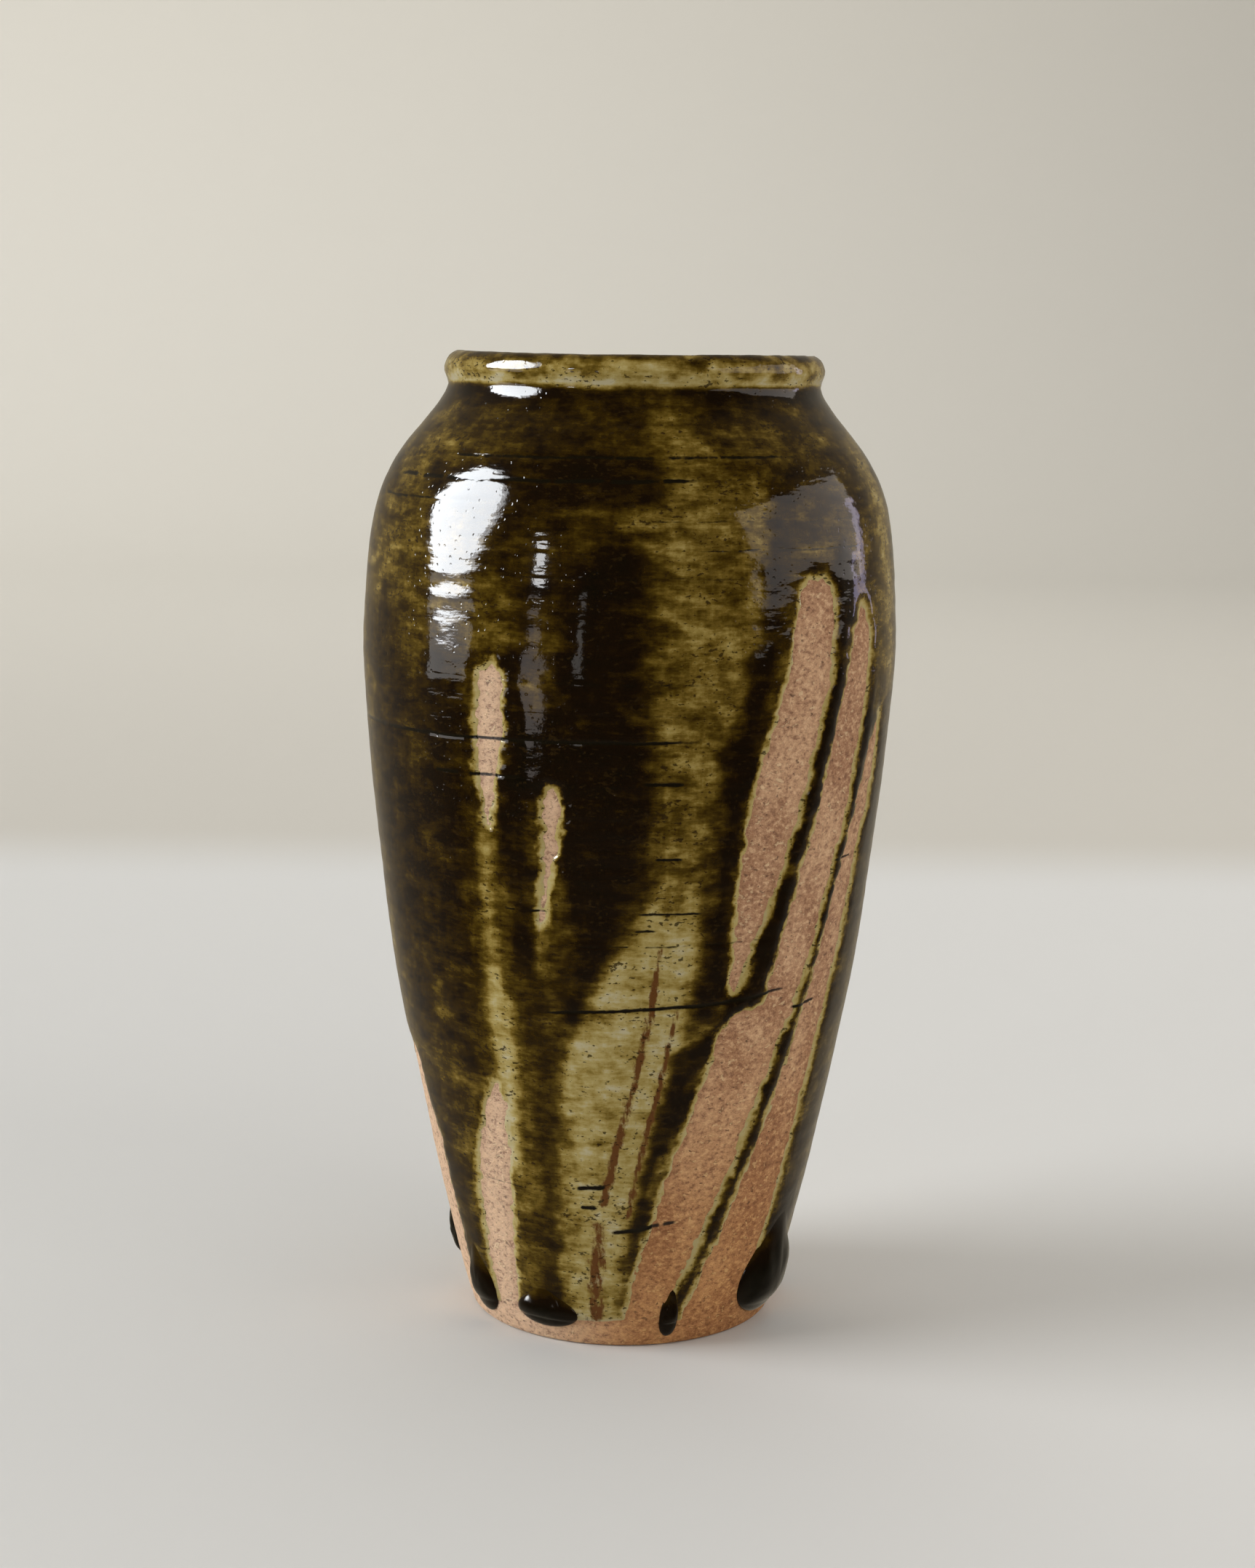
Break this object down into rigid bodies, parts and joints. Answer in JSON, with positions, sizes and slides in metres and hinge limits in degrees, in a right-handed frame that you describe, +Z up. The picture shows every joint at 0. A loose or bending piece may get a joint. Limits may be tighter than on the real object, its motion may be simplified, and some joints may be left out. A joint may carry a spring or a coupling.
{
  "type": "stoneware vase",
  "caption": "Small shouldered stoneware vase with a short collar and rolled lip, runny ash glaze over bare clay, and glaze beads at its trimmed foot.",
  "frame": {"origin": "on the table at the middle of the foot ring", "axes": "+Z up the vase's axis of revolution; -Y faces the side with the two short bare slivers, and the long slanting bare runs are towards +X"},
  "size_m": [0.0832, 0.0832, 0.152],
  "materials": {
    "stoneware": "unglazed fired clay with coarse grog",
    "ash_glaze": "glossy, olive and brown, breaking to cream where thin",
    "liner_glaze": "glossy dark brown",
    "pooled_glaze": "glossy black-brown, thick as glass"
  },
  "bodies": {
    "root": {"stoneware_body": "stoneware", "outer_glaze": "ash_glaze", "liner_glaze": "liner_glaze", "glaze_bead_front_left": "pooled_glaze", "glaze_bead_left": "pooled_glaze", "glaze_bead_far_left": "pooled_glaze", "glaze_bead_front_tip": "pooled_glaze", "glaze_bead_right": "pooled_glaze", "glaze_bead_back_right": "pooled_glaze", "glaze_bead_back": "pooled_glaze", "glaze_bead_back_left": "pooled_glaze"}
  },
  "joints": []
}
